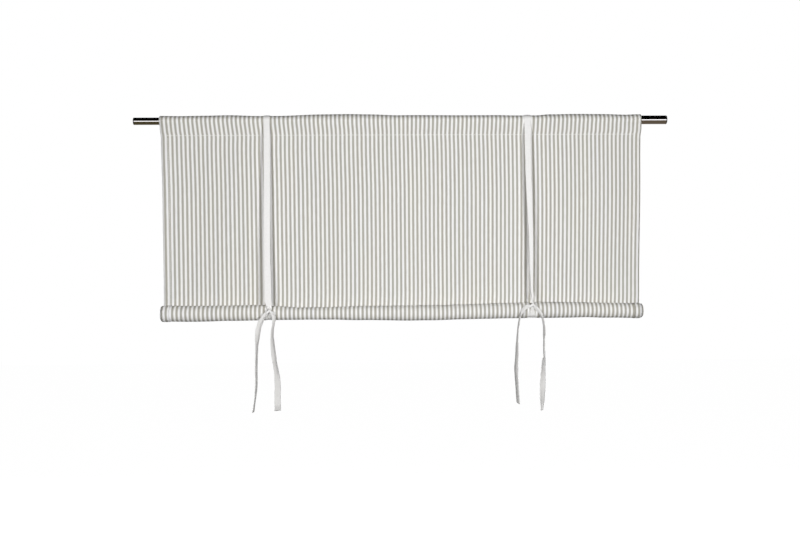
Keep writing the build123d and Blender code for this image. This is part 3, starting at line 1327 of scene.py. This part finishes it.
@dataclass
class Studio:
    """A white studio: a softbox on each side in front, a wide one behind, and a pale floor far below.

    The rod mirrors what stands round it, so dark, white and coloured cards give it the bands that the photo
    shows: dark above, a white strip at the front, and olive on the left and brown on the right below.
    """

    floor_z: float = -1.3
    floor_size: float = 16.0
    floor_lit: float = 0.15
    floor_seen: float = 0.2
    floor_glow: float = 0.99
    fill: float = 0.02
    card_half: float = 3.0
    card_front: float = -2.45
    card_back: float = 7.0
    card_top: float = 1.6
    card_bottom: float = -1.25
    strip_top: float = 0.13
    strip_bottom: float = -0.77
    strip_glow: float = 6.0
    lamps: tuple[Softbox, ...] = (
        Softbox("left_softbox", (-0.65, -1.5, -0.265), (-0.1, 0.0, -0.265), (0.45, 0.38), 13.75),
        Softbox("right_softbox", (0.67, -1.5, -0.265), (0.1, 0.0, -0.265), (0.3, 0.38), 15.1),
        Softbox("rear_softbox", (0.0, 2.6, -0.3), (0.0, 0.0, -0.3), (2.2, 1.0), 74.0),
    )

    def backdrop(self) -> None:
        """White to the eye and in reflections, and nearly dark as light."""
        world = bpy.data.worlds.new("studio_white")
        world.use_nodes = True
        tree = world.node_tree
        tree.nodes.clear()
        dim = add_node(tree, "ShaderNodeBackground", {"Color": WHITE, "Strength": self.fill})
        white = add_node(tree, "ShaderNodeBackground", {"Color": WHITE, "Strength": 1.0})
        seen = seen_rays(tree)
        mix = add_node(tree, "ShaderNodeMixShader", {0: seen, 1: dim.outputs[0], 2: white.outputs[0]})
        add_node(tree, "ShaderNodeOutputWorld", {"Surface": mix.outputs[0]})
        bpy.context.scene.world = world

    def floor(self) -> None:
        """A floor that glows white to the eye, so that it meets the backdrop, and reflects little light."""
        half = self.floor_size / 2
        material = bare_material("white_floor_paint")
        tree = material.node_tree
        paint, thin = (
            add_node(tree, "ShaderNodeBsdfDiffuse", {"Color": (grey, grey, grey, 1)})
            for grey in (self.floor_lit, self.floor_seen)
        )
        glow = add_node(tree, "ShaderNodeEmission", {"Color": WHITE, "Strength": self.floor_glow})
        shown = add_node(tree, "ShaderNodeAddShader", {0: thin.outputs[0], 1: glow.outputs[0]})
        seen = seen_rays(tree)
        mix = add_node(tree, "ShaderNodeMixShader", {0: seen, 1: paint.outputs[0], 2: shown.outputs[0]})
        add_node(tree, "ShaderNodeOutputMaterial", {"Surface": mix.outputs[0]})
        corners = [(-half, -half), (half, -half), (half, half), (-half, half)]
        staged("floor", [(x, y, self.floor_z) for x, y in corners], [(0, 1, 2, 3)], material)

    def card(
        self, name: str, sides: tuple[float, float], profile: Keys, colour: str, glow: float = 1.0
    ) -> None:
        """A board that shows only in the rod's reflection, as studio flags and cards do.

        Args:
            name: The board's name.
            sides: Where it starts and ends along X.
            profile: Its section, as points in Y and Z.
            colour: Its colour in the reflection.
            glow: Its brightness in the reflection.
        """
        points = [(side, y, z) for y, z in profile for side in sides]
        starts = range(0, len(points) - 2, 2)
        material = bare_material(name)
        tree = material.node_tree
        board = add_node(tree, "ShaderNodeEmission", {"Color": linear(colour), "Strength": glow})
        add_node(tree, "ShaderNodeOutputMaterial", {"Surface": board.outputs[0]})
        card = staged(name, points, [(i, i + 1, i + 3, i + 2) for i in starts], material)
        for ray in ("camera", "diffuse", "transmission", "volume_scatter", "shadow"):
            setattr(card, f"visible_{ray}", False)

    def build(self) -> None:
        """Set the backdrop, floor, cards and lamps."""
        self.backdrop()
        self.floor()
        half, front, back = self.card_half, self.card_front, self.card_back
        above = ((front, self.strip_top), (front, self.card_top), (back, self.card_top))
        strip = ((front, self.strip_bottom), (front, self.strip_top))
        below = ((front, self.strip_bottom), (front, self.card_bottom), (back, self.card_bottom))
        self.card("dark_flag_above", (-half, half), above, "#0A0A0A")
        self.card("white_strip", (-half, half), strip, "#E6ECFF", self.strip_glow)
        self.card("olive_card_left", (-half, 0), below, "#7F775C")
        self.card("brown_card_right", (0, half), below, "#A3968A")
        for lamp in self.lamps:
            lamp.build()
        bpy.context.scene.view_settings.view_transform = "Standard"
        LOG.info("studio, floor at %.2f m", self.floor_z)


@dataclass
class PhotoCamera:
    """The photo's camera: straight on to the blind from 2 m, a hair turned and rolled."""

    place: tuple[float, float, float] = (-51.161, -2000.0, -304.613)
    yaw: float = 1.315
    roll: float = -0.362
    focal_px: float = 958.5
    image_px: float = 800.0
    sensor: float = 36.0
    far: float = 60.0

    def build(self) -> None:
        """Set the camera with its three axes: right, up and back."""
        yaw, roll = np.radians(self.yaw), np.radians(self.roll)
        forward = np.array([np.sin(yaw), np.cos(yaw), 0.0])
        level = np.array([np.cos(yaw), -np.sin(yaw), 0.0])
        upright = np.array([0.0, 0.0, 1.0])
        right = np.cos(roll) * level + np.sin(roll) * upright
        up = np.cos(roll) * upright - np.sin(roll) * level
        data = bpy.data.cameras.new("photo_camera")
        data.sensor_fit = "HORIZONTAL"
        data.sensor_width = self.sensor
        data.lens = self.focal_px / self.image_px * self.sensor
        data.clip_end = self.far
        camera = bpy.data.objects.new("photo_camera", data)
        turned = np.eye(4)
        turned[:3, :3] = np.stack([right, up, -forward], axis=1)
        turned[:3, 3] = np.array(self.place) * MM
        camera.matrix_world = Matrix(turned.tolist())
        bpy.context.scene.collection.objects.link(camera)
        bpy.context.scene.camera = camera


# The blind


LEFT_TAILS = (
    Tail(
        "a",
        (
            (-3.6, -4.0), (-9.0, -10.0), (-15.6, -19.5), (-20.8, -31.5), (-23.8, -46.0), (-25.0, -63.0),
            (-26.2, -82.0), (-26.9, -103.0), (-27.5, -126.0), (-27.0, -149.0), (-28.6, -172.0),
            (-31.4, -192.0), (-34.0, -210.0),
        ),
        211.9,
        (
            (0.0, 10), (0.08, 34), (0.2, 40), (0.27, 51), (0.36, 73), (0.5, 77), (0.75, 77), (0.9, 84),
            (1.0, 80),
        ),
        ((0.0, 3.4), (0.06, 4.6), (0.14, 6.0), (0.3, 6.5)),
        ((0.0, 2.0), (0.3, 1.6), (0.4, 0.8), (1.0, 0.6)),
    ),
    Tail(
        "b",
        (
            (3.4, -4.2), (7.6, -9.6), (10.0, -17.5), (9.2, -27.5), (6.8, -39.5), (5.7, -53.0), (6.6, -68.0),
            (7.9, -85.0), (10.2, -104.0), (14.0, -126.0), (16.0, -148.0), (16.1, -166.0), (15.4, -184.0),
            (16.2, -198.0), (15.2, -208.0),
        ),
        206.4,
        (
            (0.0, 10), (0.06, 32), (0.12, 68), (0.25, 70), (0.31, 61), (0.41, 54), (0.46, 49), (0.51, 58),
            (0.6, 52), (0.66, 40), (0.71, 30), (0.93, 20), (1.0, 18),
        ),
        ((0.0, 3.4), (0.1, 4.6), (0.3, 6.5)),
        ((0.0, 2.0), (0.2, 1.6), (0.45, 1.8), (0.6, 1.2), (0.68, 0.3)),
        flap=5.0,
    ),
)
RIGHT_TAILS = (
    Tail(
        "a",
        (
            (-5.4, -1.6), (-13.6, -4.0), (-20.6, -10.2), (-25.4, -20.4), (-28.8, -33.0), (-31.2, -48.5),
            (-32.8, -66.0), (-33.5, -84.5), (-33.9, -104.0), (-35.6, -124.0), (-35.5, -145.0),
            (-34.1, -165.0), (-33.2, -184.5), (-31.9, -203.0),
        ),
        212.4,
        (
            (0.0, 0), (0.08, -30), (0.15, -82), (0.3, -86), (0.38, -82), (0.48, -71), (0.58, -69),
            (0.66, -63), (0.74, -67), (0.85, -69), (1.0, -70),
        ),
        ((0.0, 3.4), (0.08, 4.2), (0.3, 6.5)),
        ((0.0, 2.0), (0.2, 1.0), (0.4, 1.2), (1.0, 1.0)),
        slant=-2.0,
    ),
    Tail(
        "b",
        (
            (4.2, -3.8), (10.8, -9.6), (16.6, -17.6), (20.6, -29.0), (22.9, -42.5), (23.4, -57.0),
            (22.1, -73.0), (22.5, -91.0), (22.4, -109.0), (20.8, -130.0), (20.2, -152.0), (19.2, -175.0),
            (18.5, -198.0), (18.1, -218.0),
        ),
        219.9,
        (
            (0.0, 0), (0.08, -40), (0.14, -76), (0.29, -78), (0.35, -88), (0.42, -100), (0.485, -108),
            (0.53, -131), (0.62, -140), (0.68, -150), (0.77, -160), (0.86, -149), (0.92, -142), (1.0, -138),
        ),
        ((0.0, 3.4), (0.08, 4.2), (0.3, 6.5), (0.9, 6.5), (1.0, 3.6)),
        ((0.0, 2.0), (0.2, 1.0), (0.33, 1.2), (0.39, 3.4), (0.46, 3.4), (0.53, 0.8), (0.65, 0.5)),
        slant=-1.0,
    ),
)
LEFT_TUCK = ((-400, -1.0), (0, -1.0))
RIGHT_TUCK = (
    (-375, 0.4), (-343, 0.3), (-301, -0.08), (-249, -0.27), (-197, -0.54), (-144, -0.68), (-92, -0.8),
    (-40, -1.0),
)


def main() -> None:
    """Build the camera, the cloth, the ties, the rod and the studio."""
    logging.basicConfig(level=logging.INFO, format="%(name)s: %(message)s")
    PhotoCamera().build()
    cloth = Cloth()
    cloth.build(TickingCotton(first_stripe=-cloth.stripes_left))
    SeamStitches(cloth).build(TwillTape("white_sewing_cotton", rib=0.9))
    tape = TwillTape().make()
    # The tails are the same tape as the loop; their darker copy of its finish is painted shade, not a creased
    # or different tape.
    painted_shade_tape = TwillTape("painted_shade_twill_tape", colour="#ECEBE9", shaded="#DDDCDA", relief=0.1).make()
    left_line, right_line = cloth.tie_lines
    left = Tie("left", cloth, left_line, LEFT_TUCK, knot_x=-275.0, rise=7.6, tails=LEFT_TAILS)
    right = Tie(
        "right", cloth, right_line, RIGHT_TUCK, knot_x=268.5, rise=14.4, tails=RIGHT_TAILS,
        neck=((0, 2.4), (8, 3.4), (24, 6.5)), lobe_turns=(-24.0, 42.0), lobe_drop=1.4,
    )
    for tie in (left, right):
        tie.build(tape, painted_shade_tape)
    Rod().build()
    Studio().build()


if __name__ == "__main__":
    main()
